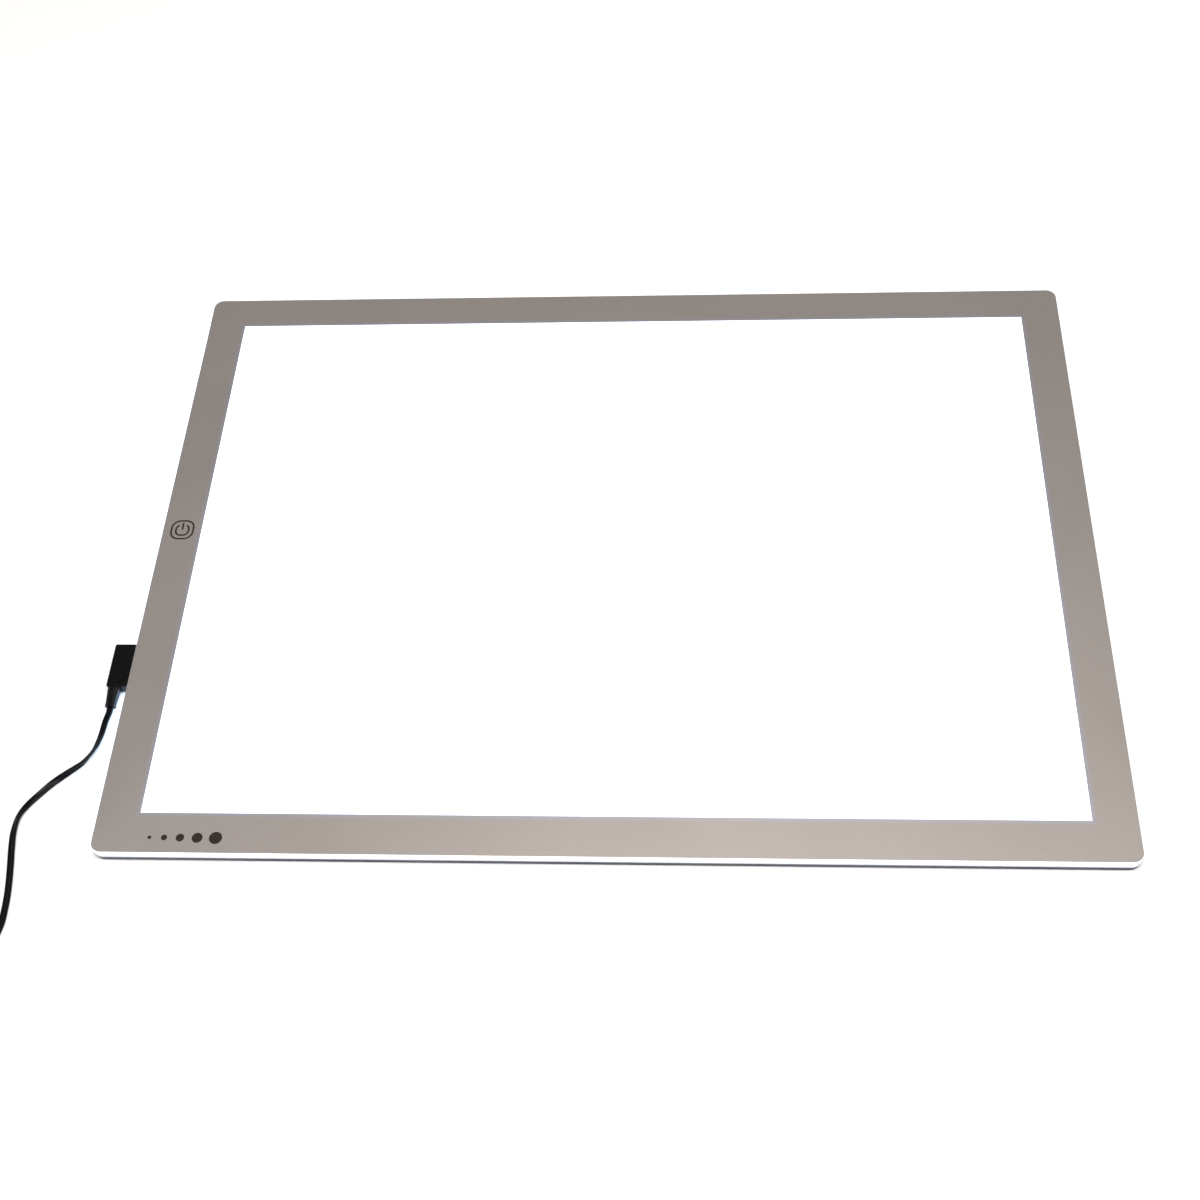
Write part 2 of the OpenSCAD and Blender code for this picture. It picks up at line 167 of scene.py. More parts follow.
def finished(bm, name, body, made):
    """Makes the worked mesh a piece that rides on a body, with its faces pointing outwards."""
    bmesh.ops.remove_doubles(bm, verts=bm.verts, dist=weld_gap)
    bmesh.ops.recalc_face_normals(bm, faces=bm.faces)
    for face in bm.faces:
        face.smooth = True
    mesh = bpy.data.meshes.new(name)
    bm.to_mesh(mesh)
    bm.free()
    mesh.set_sharp_from_angle(angle=math.radians(40))
    mesh.materials.append(made)
    piece = bpy.data.objects.new(name, mesh)
    bpy.context.scene.collection.objects.link(piece)
    even = piece.modifiers.new("even_shading", "WEIGHTED_NORMAL")
    even.keep_sharp = True
    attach(piece, body)
    return piece


def arc(middle_r, middle_z, radius, start, end, steps):
    """Points on an arc in the (r, z) plane, from one angle to another in degrees."""
    angles = [math.radians(start + (end - start) * i / steps) for i in range(steps + 1)]
    return [(middle_r + radius * math.cos(a), middle_z + radius * math.sin(a)) for a in angles]


foot_rubber = grained(
    "foot_rubber", (0.035, 0.035, 0.038), (0.022, 0.022, 0.024), 0.62, 0.85, 180, 3200, 0.00003
)
foot_edge, foot_rim = 0.0002, 0.0005
hollow_lip, hollow_depth = 0.0003, 0.0004
for side in ("front", "rear"):
    for place in ("left", "middle", "right"):
        low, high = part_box(f"foot_{side}_{place}")
        middle = (low + high) / 2
        radius = (high.x - low.x) / 2
        height = high.z - low.z
        profile = [(0, height), (radius - foot_edge, height), (radius, height - foot_edge)]
        profile += arc(radius - foot_rim, foot_rim, foot_rim, 0, -90, 4)
        profile += [(radius / 2 + hollow_lip, 0)]
        profile += arc(radius / 2 - hollow_lip, 0.0001, hollow_lip, -20, 90, 3)
        profile += [(0, hollow_depth)]
        bm = bmesh.new()
        line = [bm.verts.new((r, 0, z)) for r, z in profile]
        edges = [bm.edges.new(pair) for pair in zip(line, line[1:])]
        bmesh.ops.spin(
            bm, geom=line + edges, cent=(0, 0, 0), axis=(0, 0, 1), angle=2 * math.pi,
            steps=48, use_merge=True, use_duplicate=False,
        )
        bmesh.ops.translate(bm, verts=bm.verts, vec=(middle.x, middle.y, 0))
        foot = finished(bm, f"rubber_foot_{side}_{place}", "panel", foot_rubber)
        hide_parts(f"foot_{side}_{place}")


# ---- Clear edge frame ----
# A ring of clear acrylic round the light guide, sawn, flame polished and glued. Stray light
# from the guide fills it, white under the top sheet and bluer towards the back panel.

def loft(bm, levels, capped=True, corner_steps=10):
    """Walls through level rectangles with round corners, each (z, length, width, radius)."""
    half_step = math.pi / (4 * corner_steps)
    unit = 1 / math.cos(half_step)
    outward = bm.verts.layers.float_vector.new("outward")
    verts = bmesh.ops.create_circle(bm, segments=4 * corner_steps, radius=unit)["verts"]
    bmesh.ops.rotate(bm, verts=verts, matrix=Matrix.Rotation(half_step, 3, "Z"))
    for v in verts:
        v[outward] = v.co
    edges = list({e for v in verts for e in v.link_edges})
    for level, (z, length, width, radius) in enumerate(levels):
        if level:
            drawn = bmesh.ops.extrude_edge_only(bm, edges=edges)["geom"]
            verts = [v for v in drawn if isinstance(v, bmesh.types.BMVert)]
            edges = [e for e in drawn if isinstance(e, bmesh.types.BMEdge)]
        elif capped:
            bmesh.ops.contextual_create(bm, geom=edges)
        for v in verts:
            way = v[outward]
            v.co = (
                math.copysign(length / 2 - radius, way.x) + radius * way.x,
                math.copysign(width / 2 - radius, way.y) + radius * way.y,
                z,
            )
    if capped:
        bmesh.ops.contextual_create(bm, geom=edges)
    bm.verts.layers.float_vector.remove(outward)


def glow_material(name, tones, roughness, strength):
    """Acrylic lit from inside: its glow goes through the tones from the given heights up."""
    made = bpy.data.materials.new(name)
    made.use_nodes = True
    nodes, link = made.node_tree.nodes, made.node_tree.links.new
    shader = nodes["Principled BSDF"]
    shader.inputs["Base Color"].default_value = (0.82, 0.88, 0.94, 1)
    shader.inputs["IOR"].default_value = 1.49
    shader.inputs["Emission Strength"].default_value = strength
    place = nodes.new("ShaderNodeTexCoord")
    height = nodes.new("ShaderNodeSeparateXYZ")
    link(place.outputs["Object"], height.inputs[0])
    levels = nodes.new("ShaderNodeMapRange")
    levels.inputs["From Min"].default_value = tones[0][0]
    levels.inputs["From Max"].default_value = tones[-1][0]
    link(height.outputs["Z"], levels.inputs["Value"])
    ramp = nodes.new("ShaderNodeValToRGB")
    ramp.name = "glow"
    span = tones[-1][0] - tones[0][0]
    for i, (z, tone) in enumerate(tones):
        at = (z - tones[0][0]) / span
        stop = ramp.color_ramp.elements[0] if i == 0 else ramp.color_ramp.elements.new(at)
        stop.position = at
        stop.color = (*tone, 1)
    ramp.color_ramp.elements.remove(ramp.color_ramp.elements[-1])
    link(levels.outputs[0], ramp.inputs[0])
    streaks = nodes.new("ShaderNodeTexNoise")
    streaks.inputs["Scale"].default_value = 60
    streaks.inputs["Detail"].default_value = 2
    link(place.outputs["Object"], streaks.inputs["Vector"])
    drift = nodes.new("ShaderNodeMapRange")
    drift.inputs["To Min"].default_value = 0.9
    drift.inputs["To Max"].default_value = 1.05
    link(streaks.outputs["Fac"], drift.inputs["Value"])
    shine = nodes.new("ShaderNodeVectorMath")
    shine.name = "shine"
    shine.operation = "SCALE"
    link(ramp.outputs["Color"], shine.inputs[0])
    link(drift.outputs[0], shine.inputs["Scale"])
    link(shine.outputs[0], shader.inputs["Emission Color"])
    polish = nodes.new("ShaderNodeMapRange")
    polish.inputs["To Min"].default_value = roughness * 0.7
    polish.inputs["To Max"].default_value = roughness * 1.5
    link(streaks.outputs["Fac"], polish.inputs["Value"])
    link(polish.outputs[0], shader.inputs["Roughness"])
    return made


def brighter_beside(made, side, elsewhere):
    """Keeps the full glow for the side face at one X, by the control board, and tones the rest."""
    nodes, link = made.node_tree.nodes, made.node_tree.links.new
    place = nodes.new("ShaderNodeTexCoord")
    spot = nodes.new("ShaderNodeSeparateXYZ")
    link(place.outputs["Object"], spot.inputs[0])
    away = nodes.new("ShaderNodeMapRange")
    away.inputs["From Min"].default_value = side + 0.00002
    away.inputs["From Max"].default_value = side + 0.0002
    link(spot.outputs["X"], away.inputs["Value"])
    toned = nodes.new("ShaderNodeMix")
    toned.data_type = "RGBA"
    toned.blend_type = "MULTIPLY"
    toned.inputs[7].default_value = (*elsewhere, 1)
    link(away.outputs[0], toned.inputs[0])
    link(nodes["shine"].outputs[0], toned.inputs[6])
    link(toned.outputs[2], nodes["Principled BSDF"].inputs["Emission Color"])


edge_low, edge_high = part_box("edge_frame")
edge_size = edge_high - edge_low
corner_radius = 0.007
polished = 0.0003
side_rail, long_rail = 0.008, 0.021
edge_glow = glow_material(
    "edge_glow",
    [
        (edge_low.z, (0.003, 0.004, 0.007)),
        (edge_low.z + 0.0008, (0.008, 0.01, 0.018)),
        (edge_low.z + 0.0016, (0.06, 0.1, 0.16)),
        (edge_low.z + 0.0026, (0.36, 0.6, 0.95)),
        (edge_low.z + 0.0045, (0.46, 0.69, 1.0)),
        (edge_high.z, (0.5, 0.72, 1.0)),
    ],
    0.12,
    16.0,
)
brighter_beside(edge_glow, edge_low.x, (0.145, 0.1, 0.072))
levels = [
    (z, edge_size.x - 2 * inset, edge_size.y - 2 * inset, corner_radius - inset)
    for z, inset in (
        (edge_low.z, polished),
        (edge_low.z + polished, 0),
        (edge_high.z - polished, 0),
        (edge_high.z, polished),
    )
]
inside = edge_size.x - 2 * side_rail, edge_size.y - 2 * long_rail, 0.003
levels += [(edge_high.z, *inside), (edge_low.z, *inside), levels[0]]
bm = bmesh.new()
loft(bm, levels, capped=False)
bmesh.ops.remove_doubles(bm, verts=bm.verts, dist=weld_gap)

# The notch that the inlet sits in is sawn right through the left rail.
inlet_low, inlet_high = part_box("dc_inlet")
for y in (inlet_low.y, inlet_high.y):
    rail = [f for f in bm.faces if max(v.co.x for v in f.verts) < edge_low.x + 2 * side_rail]
    rail += list({e for f in rail for e in f.edges}) + list({v for f in rail for v in f.verts})
    bmesh.ops.bisect_plane(bm, geom=rail, plane_co=(0, y, 0), plane_no=(0, 1, 0))
sawn = [
    f for f in bm.faces
    if f.calc_center_median().x < 0 and inlet_low.y < f.calc_center_median().y < inlet_high.y
]
bmesh.ops.delete(bm, geom=sawn, context="FACES")
bmesh.ops.edgeloop_fill(bm, edges=[e for e in bm.edges if e.is_boundary])
clear_edge = finished(bm, "clear_edge", "panel", edge_glow)
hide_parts("edge_frame")


# ---- Inlet ----
# A slim moulded socket in the frame's left rail, with a sprung sleeve and a nickel pin.

inlet_plastic = grained(
    "inlet_plastic", (0.03, 0.032, 0.035), (0.02, 0.021, 0.024), 0.4, 0.55, 300, 4000, 0.00001
)
nickel = grained(
    "nickel", (0.72, 0.69, 0.62), (0.58, 0.55, 0.49), 0.14, 0.28, 500, 6000, 0.000004, 1.0
)
dress(inlet_plastic, "dc_inlet")
dress(nickel, "inlet_pin", "inlet_terminals")


# ---- Light path ----
# White reflector film, clear light guide with its printed dots, and a milky diffuser sheet,
# stacked inside the frame, with a strip of LEDs looking into each long edge of the guide.

def dotted_guide():
    """Clear acrylic with the white dots that lead the light out, spread evenly."""
    made = glow_material(
        "guide_glow", [(0.003, (0.5, 0.55, 0.62)), (0.008, (0.7, 0.74, 0.78))], 0.1, 0.8
    )
    nodes, link = made.node_tree.nodes, made.node_tree.links.new
    place = nodes.new("ShaderNodeTexCoord")
    dots = nodes.new("ShaderNodeTexVoronoi")
    dots.voronoi_dimensions = "2D"
    dots.inputs["Scale"].default_value = 600
    dots.inputs["Randomness"].default_value = 0.1
    link(place.outputs["Object"], dots.inputs["Vector"])
    ink = nodes.new("ShaderNodeMapRange")
    ink.inputs["From Min"].default_value = 0.25
    ink.inputs["From Max"].default_value = 0.35
    link(dots.outputs["Distance"], ink.inputs["Value"])
    tone = nodes.new("ShaderNodeMix")
    tone.data_type = "RGBA"
    tone.inputs[6].default_value = (0.95, 0.96, 0.97, 1)
    tone.inputs[7].default_value = (0.7, 0.8, 0.88, 1)
    link(ink.outputs[0], tone.inputs[0])
    link(tone.outputs[2], nodes["Principled BSDF"].inputs["Base Color"])
    return made


white_film = grained(
    "white_film", (0.93, 0.94, 0.95), (0.86, 0.88, 0.9), 0.3, 0.5, 30, 2500, 0.000006
)
white_board = grained(
    "white_board", (0.86, 0.86, 0.82), (0.8, 0.8, 0.75), 0.35, 0.5, 120, 3000, 0.000006
)
dress(dotted_guide(), "light_guide")
dress(white_film, "reflector_film", "diffuser_sheet")
dress(white_board, "front_led_strip", "rear_led_strip")

phosphor = grained(
    "phosphor", (1.0, 0.86, 0.4), (0.95, 0.72, 0.25), 0.35, 0.5, 900, 6000, 0.000004
)
phosphor_shader = phosphor.node_tree.nodes["Principled BSDF"]
phosphor_shader.inputs["Emission Color"].default_value = (1.0, 0.97, 0.9, 1)
phosphor_shader.inputs["Emission Strength"].default_value = 4.0
dress(phosphor, "front_leds", "rear_leds")


# ---- Control board ----
# A narrow board in the left margin: touch and driver chips, a drum inductor, two can
# capacitors, wire sockets and the copper electrode of the touch switch on its foam block.

def board_finish():
    """Green solder mask over the copper lines of a circuit board."""
    made = grained(
        "solder_mask", (0.03, 0.2, 0.08), (0.02, 0.13, 0.05), 0.25, 0.4, 200, 3000, 0.000004
    )
    nodes, link = made.node_tree.nodes, made.node_tree.links.new
    place = nodes.new("ShaderNodeTexCoord")
    lines = nodes.new("ShaderNodeTexBrick")
    lines.inputs["Scale"].default_value = 180
    lines.inputs["Color1"].default_value = (0, 0, 0, 1)
    lines.inputs["Color2"].default_value = (0.2, 0.2, 0.2, 1)
    lines.inputs["Mortar"].default_value = (1, 1, 1, 1)
    lines.inputs["Mortar Size"].default_value = 0.08
    link(place.outputs["Object"], lines.inputs["Vector"])
    copper = nodes.new("ShaderNodeMix")
    copper.data_type = "RGBA"
    copper.inputs[7].default_value = (0.09, 0.32, 0.12, 1)
    link(lines.outputs["Color"], copper.inputs[0])
    link(nodes["grain"].outputs["Color"], copper.inputs[6])
    link(copper.outputs[2], nodes["Principled BSDF"].inputs["Base Color"])
    return made


solder_mask = board_finish()
chip_epoxy = grained(
    "chip_epoxy", (0.03, 0.03, 0.032), (0.02, 0.02, 0.022), 0.45, 0.6, 500, 5000, 0.00001
)
can_metal = grained(
    "can_metal", (0.78, 0.79, 0.8), (0.66, 0.67, 0.69), 0.2, 0.35, 300, 5000, 0.000004, 1.0
)
cream_nylon = grained(
    "cream_nylon", (0.86, 0.82, 0.7), (0.78, 0.74, 0.62), 0.4, 0.55, 300, 4000, 0.000008
)
copper_foil = grained(
    "copper_foil", (0.82, 0.4, 0.22), (0.66, 0.3, 0.16), 0.2, 0.4, 300, 3000, 0.000006, 1.0
)
foam = grained("foam", (0.06, 0.06, 0.065), (0.02, 0.02, 0.022), 0.8, 0.95, 600, 2500, 0.0002)
red_sleeve = grained(
    "red_sleeve", (0.55, 0.03, 0.02), (0.42, 0.02, 0.015), 0.3, 0.45, 300, 4000, 0.000006
)
dress(solder_mask, "control_board", "adapter_board")
dress(chip_epoxy, "touch_chip", "driver_chip", "inductor")
dress(can_metal, "board_capacitors")
dress(cream_nylon, "wire_sockets")
dress(copper_foil, "touch_electrode")
dress(foam, "touch_foam")
dress(red_sleeve, "front_strip_wires", "rear_strip_wires")


# ---- Top sheet ----
# Opal acrylic, satin on its face: the lit window stands level with the printed border, and
# the polished sides glow with the frame below. The light thins to blue at the print's edge.

def border_group(half_length, half_width):
    """Fades from nothing to one between two distances inside the window's border."""
    group = bpy.data.node_groups.new("window_border", "ShaderNodeTree")
    for label in ("Nothing At", "One At"):
        group.interface.new_socket(name=label, in_out="INPUT", socket_type="NodeSocketFloat")
    group.interface.new_socket(name="Fade", in_out="OUTPUT", socket_type="NodeSocketFloat")
    nodes, link = group.nodes, group.links.new
    given = nodes.new("NodeGroupInput")
    out = nodes.new("NodeGroupOutput")
    place = nodes.new("ShaderNodeTexCoord")
    spot = nodes.new("ShaderNodeSeparateXYZ")
    link(place.outputs["Object"], spot.inputs[0])
    nearest = nodes.new("ShaderNodeMath")
    nearest.operation = "MINIMUM"
    for i, (axis, half) in enumerate((("X", half_length), ("Y", half_width))):
        size = nodes.new("ShaderNodeMath")
        size.operation = "ABSOLUTE"
        link(spot.outputs[axis], size.inputs[0])
        gap = nodes.new("ShaderNodeMath")
        gap.operation = "SUBTRACT"
        gap.inputs[0].default_value = half
        link(size.outputs[0], gap.inputs[1])
        link(gap.outputs[0], nearest.inputs[i])
    fade = nodes.new("ShaderNodeMapRange")
    link(given.outputs["Nothing At"], fade.inputs["From Min"])
    link(given.outputs["One At"], fade.inputs["From Max"])
    link(nearest.outputs[0], fade.inputs["Value"])
    link(fade.outputs[0], out.inputs["Fade"])
    return group


def border_fade(nodes, nothing_at, one_at):
    """The window border's fade, in a material, between two distances in metres."""
    fade = nodes.new("ShaderNodeGroup")
    fade.node_tree = window_border
    fade.inputs["Nothing At"].default_value = nothing_at
    fade.inputs["One At"].default_value = one_at
    return fade.outputs["Fade"]


def lit_face(made):
    """Turns the glow to the even white of the window on the top face, bluish at its border."""
    nodes, link = made.node_tree.nodes, made.node_tree.links.new
    place = nodes.new("ShaderNodeTexCoord")
    spot = nodes.new("ShaderNodeSeparateXYZ")
    link(place.outputs["Object"], spot.inputs[0])
    face = nodes.new("ShaderNodeMix")
    face.data_type = "RGBA"
    face.inputs[6].default_value = (0.6, 0.64, 0.84, 1)
    face.inputs[7].default_value = (0.92, 0.935, 0.935, 1)
    link(border_fade(nodes, 0.0, 0.0018), face.inputs[0])
    top = nodes.new("ShaderNodeMath")
    top.operation = "GREATER_THAN"
    top.inputs[1].default_value = sheet_high.z - 0.0001
    link(spot.outputs["Z"], top.inputs[0])
    either = nodes.new("ShaderNodeMix")
    either.data_type = "RGBA"
    link(top.outputs[0], either.inputs[0])
    link(nodes["shine"].outputs[0], either.inputs[6])
    link(face.outputs[2], either.inputs[7])
    link(either.outputs[2], nodes["Principled BSDF"].inputs["Emission Color"])
    satin = nodes.new("ShaderNodeTexNoise")
    satin.inputs["Scale"].default_value = 4000
    link(place.outputs["Object"], satin.inputs["Vector"])
    bump = nodes.new("ShaderNodeBump")
    bump.inputs["Distance"].default_value = 0.000008
    link(satin.outputs["Fac"], bump.inputs["Height"])
    link(bump.outputs["Normal"], nodes["Principled BSDF"].inputs["Normal"])


sheet_low, sheet_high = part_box("top_panel")
bezel_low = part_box("bezel")[0]
window_half_l, window_half_w = 0.297, 0.210
window_border = border_group(window_half_l, window_half_w)
opal_glow = glow_material(
    "opal_glow", [(sheet_low.z, (0.82, 0.9, 1.0)), (sheet_high.z, (0.88, 0.93, 1.0))], 0.3, 1.2
)
lit_face(opal_glow)
levels = [
    (z, edge_size.x - 2 * inset, edge_size.y - 2 * inset, corner_radius - inset)
    for z, inset in ((sheet_low.z, polished), (sheet_low.z + polished, 0), (bezel_low.z, 0))
]
levels += [
    (z, 2 * window_half_l, 2 * window_half_w, 0.0002) for z in (bezel_low.z, sheet_high.z)
]
bm = bmesh.new()
loft(bm, levels)
lit_sheet = finished(bm, "lit_sheet", "panel", opal_glow)
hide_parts("top_panel")


# ---- Bezel and prints ----
# Silver ink with fine metal flakes, screen printed as a border round the window, with a painted blue
# glow of the window's light next to it. The power sign and a plain brightness mark are printed in
# dark brown ink, level with it.

def silver_print():
    """Satin silver ink: tiny flakes that each lie at their own tilt and tone, and a painted glow of
    the window's light that turns it bluer next to the window.
    """
    made = grained(
        "silver_print", (0.372, 0.338, 0.318), (0.34, 0.309, 0.291), 0.36, 0.44, 9, 2600, 0.000012,
        metallic=0.6,
    )
    nodes, link = made.node_tree.nodes, made.node_tree.links.new
    place = nodes.new("ShaderNodeTexCoord")
    flakes = nodes.new("ShaderNodeTexVoronoi")
    flakes.inputs["Scale"].default_value = 7000
    link(place.outputs["Object"], flakes.inputs["Vector"])
    sparkle = nodes.new("ShaderNodeMapRange")
    sparkle.inputs["To Min"].default_value = 0.86
    sparkle.inputs["To Max"].default_value = 1.14
    link(flakes.outputs["Color"], sparkle.inputs["Value"])
    tone = nodes.new("ShaderNodeVectorMath")
    tone.operation = "SCALE"
    link(nodes["grain"].outputs["Color"], tone.inputs[0])
    link(sparkle.outputs[0], tone.inputs["Scale"])
    # Painted glow: the ink colour is fully bluer within 0.5 mm of the window and fades out by 3.5
    # mm. It is painted in for the window's light falling on the print.
    painted_window_glow = nodes.new("ShaderNodeMix")
    painted_window_glow.data_type = "RGBA"
    painted_window_glow.blend_type = "MULTIPLY"
    painted_window_glow.inputs[7].default_value = (1.0, 1.08, 1.32, 1)
    link(border_fade(nodes, -0.0035, -0.0005), painted_window_glow.inputs[0])
    link(tone.outputs[0], painted_window_glow.inputs[6])
    link(painted_window_glow.outputs[2], nodes["Principled BSDF"].inputs["Base Color"])
    return made


dark_ink = grained(
    "dark_ink", (0.022, 0.016, 0.013), (0.015, 0.011, 0.009), 0.45, 0.6, 200, 3000, 0.00001,
    gloss=0.2,
)
dress(silver_print(), "bezel")
dress(dark_ink, "touch_symbol", "brightness_mark")


# ---- Lead ----
# Flat twin lead: two stranded cores side by side in glossy black vinyl with a groove between
# them. It leaves the plug, rolls over once on its way down, and is wound up on edge.

def smooth_line(points, step):
    """The route as a smooth run of points about a step apart; the roll is carried along."""
    stops = [Vector(p) for p in points]
    stops = [stops[0], *stops, stops[-1]]
    line = []
    for a, b, c, d in zip(stops, stops[1:], stops[2:], stops[3:]):
        count = max(1, round((c.xyz - b.xyz).length / step))
        for i in range(count):
            t = i / count
            bend = (2 * a - 5 * b + 4 * c - d) * t * t + (3 * b - a - 3 * c + d) * t * t * t
            line.append((2 * b + (c - a) * t + bend) / 2)
    return [*line, stops[-1]]


def stations(line):
    """A turned place for each point: X across the width, Y through the thickness, Z ahead."""
    places = []
    for before, here, after in zip([line[0], *line], line, [*line[1:], line[-1]]):
        ahead = (after.xyz - before.xyz).normalized()
        side = Vector((0, 0, 1)).cross(ahead).normalized()
        turned = Matrix((side, ahead.cross(side), ahead)).transposed()
        roll = Matrix.Rotation(math.radians(here.w), 3, "Z")
        places.append(Matrix.Translation(here.xyz) @ (turned @ roll).to_4x4())
    return places


def sweep(bm, ring, places):
    """Draws a ring of edges through the places, and closes both ends."""
    along = bm.verts.layers.float["along"]
    verts = list({v for e in ring for v in e.verts})
    bmesh.ops.transform(bm, matrix=places[0], verts=verts)
    bmesh.ops.contextual_create(bm, geom=ring)
    gone = 0.0
    for here, ahead in zip(places, places[1:]):
        gone += (ahead.translation - here.translation).length
        drawn = bmesh.ops.extrude_edge_only(bm, edges=ring)["geom"]
        verts = [v for v in drawn if isinstance(v, bmesh.types.BMVert)]
        ring = [e for e in drawn if isinstance(e, bmesh.types.BMEdge)]
        bmesh.ops.transform(bm, matrix=ahead @ here.inverted(), verts=verts)
        for v in verts:
            v[along] = gone
    bmesh.ops.contextual_create(bm, geom=ring)


def ring_with_layers(bm, segments):
    """A circle of edges, and the layers that say where a point is along and across a sweep."""
    bm.verts.layers.float.new("along")
    bm.verts.layers.float.new("across")
    return bmesh.ops.create_circle(bm, segments=segments, radius=1)["verts"]


lead_width, lead_thickness = 0.0044, 0.0022
lobe = lead_thickness / 2
web = 0.00078
plug_to_coil = [
    (-0.3352, -0.1298, 0.0062, 0), (-0.3352, -0.134, 0.0062, 0), (-0.3364, -0.14, 0.0058, 5),
    (-0.3376, -0.15, 0.0048, 20), (-0.3403, -0.1595, 0.0036, 45), (-0.3453, -0.168, 0.0026, 75),
    (-0.3481, -0.1712, 0.0023, 90), (-0.3512, -0.1738, 0.0022, 105),
    (-0.3572, -0.1788, 0.002, 130), (-0.364, -0.1847, 0.0016, 160), (-0.3705, -0.192, 0.0012, 175),
    (-0.3766, -0.2, 0.0013, 185), (-0.3806, -0.2086, 0.0018, 215), (-0.3814, -0.2195, 0.0015, 200),
    (-0.38, -0.231, 0.0012, 183), (-0.378, -0.242, 0.0012, 180), (-0.3762, -0.253, 0.0012, 180),
    (-0.3748, -0.264, 0.0012, 180), (-0.3742, -0.2745, 0.0012, 180),
    (-0.3742, -0.282, 0.0012, 180), (-0.3756, -0.29, 0.0012, 180), (-0.3786, -0.299, 0.0012, 182),
    (-0.3824, -0.308, 0.0015, 200), (-0.3862, -0.317, 0.002, 225), (-0.3892, -0.326, 0.0024, 250),
    (-0.3914, -0.335, 0.0027, 265), (-0.3926, -0.344, 0.0029, 270), (-0.3927, -0.352, 0.0029, 270),
]
coil_to_adapter = [
    (-0.4513, -0.352, 0.0074, 270), (-0.4512, -0.344, 0.0069, 270),
    (-0.4508, -0.336, 0.0054, 270), (-0.4504, -0.328, 0.0034, 260), (-0.45, -0.32, 0.0022, 230),
    (-0.45, -0.312, 0.0015, 195), (-0.45, -0.304, 0.002, 180), (-0.45, -0.297, 0.0038, 180),
    (-0.45, -0.292, 0.0055, 180), (-0.45, -0.288, 0.0055, 180),
]
coil_middle = Vector((-0.422, -0.352, 0))
coil_turns = 7.5
turn_points = 72
outer_turn, inner_turn = 0.0293, 0.0207
lower_layer, upper_layer = 0.0029, 0.0074
coiled = []
for i in range(1, int(coil_turns * turn_points)):
    turn = i / turn_points
    angle = -2 * math.pi * turn
    half = coil_turns / 2
    inwards = min(turn, coil_turns - turn) / half
    radius = outer_turn + (inner_turn - outer_turn) * inwards
    climb = min(max((turn - half) / 0.5 + 0.5, 0), 1)
    climb = climb * climb * (3 - 2 * climb)
    loose = 0.00006 * math.sin(3.1 * turn) * math.sin(1.7 * angle)
    place = coil_middle + Vector((math.cos(angle), math.sin(angle), 0)) * (radius + loose)
    place.z = lower_layer + (upper_layer - lower_layer) * climb
    coiled.append(Vector((*place, 270)))
lead_line = smooth_line(plug_to_coil, 0.0022) + coiled + smooth_line(coil_to_adapter, 0.0025)


def drawn_vinyl(name, tone, smooth, rough, gloss):
    """Black vinyl, drawn through a die: faint lines run along it."""
    made = bpy.data.materials.new(name)
    made.use_nodes = True
    nodes, link = made.node_tree.nodes, made.node_tree.links.new
    shader = nodes["Principled BSDF"]
    shader.inputs["Specular IOR Level"].default_value = gloss
    along = nodes.new("ShaderNodeAttribute")
    along.attribute_name = "along"
    across = nodes.new("ShaderNodeAttribute")
    across.attribute_name = "across"
    place = nodes.new("ShaderNodeCombineXYZ")
    link(along.outputs["Fac"], place.inputs["X"])
    link(across.outputs["Fac"], place.inputs["Y"])
    stretch = nodes.new("ShaderNodeMapping")
    stretch.inputs["Scale"].default_value = (90, 5000, 1)
    link(place.outputs[0], stretch.inputs["Vector"])
    lines = nodes.new("ShaderNodeTexNoise")
    lines.inputs["Scale"].default_value = 1
    lines.inputs["Detail"].default_value = 4
    link(stretch.outputs[0], lines.inputs["Vector"])
    polish = nodes.new("ShaderNodeMapRange")
    polish.inputs["To Min"].default_value = smooth
    polish.inputs["To Max"].default_value = rough
    link(lines.outputs["Fac"], polish.inputs["Value"])
    link(polish.outputs[0], shader.inputs["Roughness"])
    tint = nodes.new("ShaderNodeMix")
    tint.data_type = "RGBA"
    tint.inputs[6].default_value = (*tone, 1)
    tint.inputs[7].default_value = (*(1.6 * t for t in tone), 1)
    link(lines.outputs["Fac"], tint.inputs[0])
    link(tint.outputs[2], shader.inputs["Base Color"])
    bump = nodes.new("ShaderNodeBump")
    bump.inputs["Distance"].default_value = 0.00002
    link(lines.outputs["Fac"], bump.inputs["Height"])
    link(bump.outputs["Normal"], shader.inputs["Normal"])
    return made


bm = bmesh.new()
section = ring_with_layers(bm, 24)
across = bm.verts.layers.float["across"]
for v in section:
    angle = math.atan2(v.co.y, v.co.x)
    v[across] = lead_width / 2 * math.cos(angle)
    half = math.sqrt(max(lobe**2 - (abs(v[across]) - lobe) ** 2, 0))
    if abs(v[across]) < lobe:
        half = max(half, web)
    v.co = (v[across], math.copysign(half, v.co.y), 0)
sweep(bm, list({e for v in section for e in v.link_edges}), stations(lead_line))
lead_vinyl = drawn_vinyl("lead_vinyl", (0.0016, 0.0016, 0.002), 0.15, 0.26, 0.1)
lead = finished(bm, "flat_lead", "lead", lead_vinyl)
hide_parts("cord_run", "cord_coil", "cord_tail")


# ---- Coil tie ----
# A flat ribbon with a wire core, passed round the coil and twisted shut. Its twisted ends are
# folded down along the turns.

